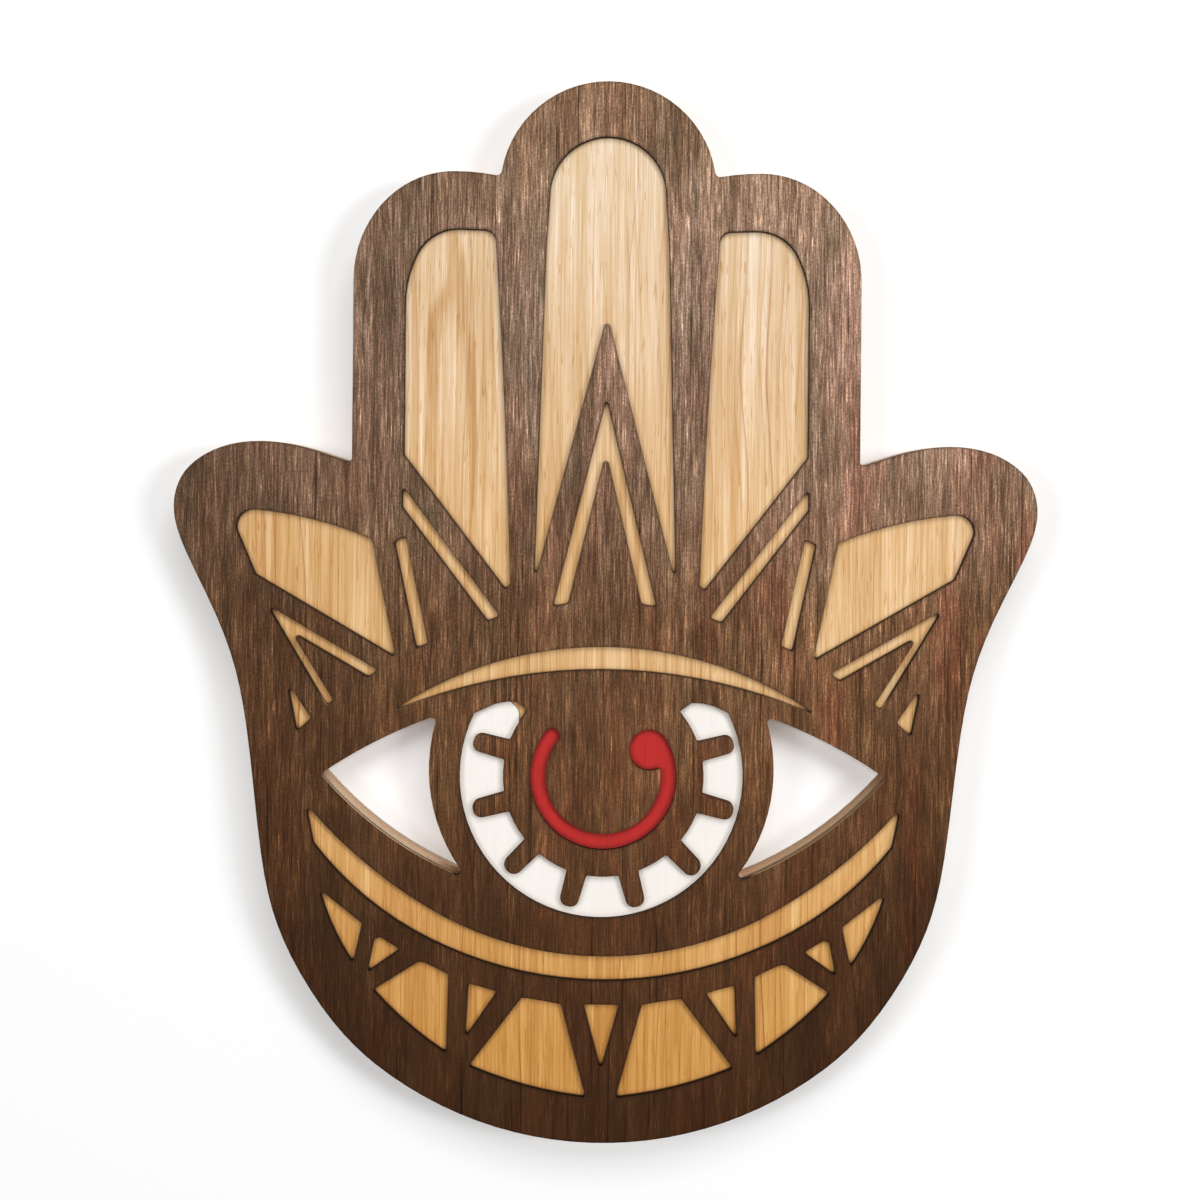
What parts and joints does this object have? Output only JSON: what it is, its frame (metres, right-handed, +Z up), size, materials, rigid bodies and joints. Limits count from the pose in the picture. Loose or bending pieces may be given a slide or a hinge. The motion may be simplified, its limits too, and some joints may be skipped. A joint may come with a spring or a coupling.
{
  "type": "hamsa hand ornament",
  "caption": "Layered wooden hamsa hand wall plaque: dark stained fretwork over natural oak, with a white and red painted eye and a keyhole hanger on the back.",
  "frame": {"origin": "centre of the keyhole's round entry, halfway through the hanger plate", "axes": "+Z up the hand towards the middle fingertip, -Y out of the carved front, +X to the right seen from the front"},
  "size_m": [0.3306, 0.0243, 0.4067],
  "materials": {
    "stained_wood": "dark stained wood, satin",
    "natural_oak": "natural oak, clear satin",
    "white_paint": "white painted wood, matt",
    "red_paint": "red painted wood, matt",
    "core_board": "raw fibreboard, matt",
    "hanger_steel": "zinc plated, satin",
    "pad_felt": "felt"
  },
  "bodies": {
    "root": {"face_fretwork": "stained_wood", "oak_panel": "natural_oak", "iris_white_plate": "white_paint", "pupil_red_plate": "red_paint", "backing_core": "core_board", "keyhole_hanger_plate": "hanger_steel", "hanger_screws": "hanger_steel", "wall_pad_upper_left": "pad_felt", "wall_pad_upper_right": "pad_felt", "wall_pad_lower_left": "pad_felt", "wall_pad_lower_right": "pad_felt"}
  },
  "joints": []
}
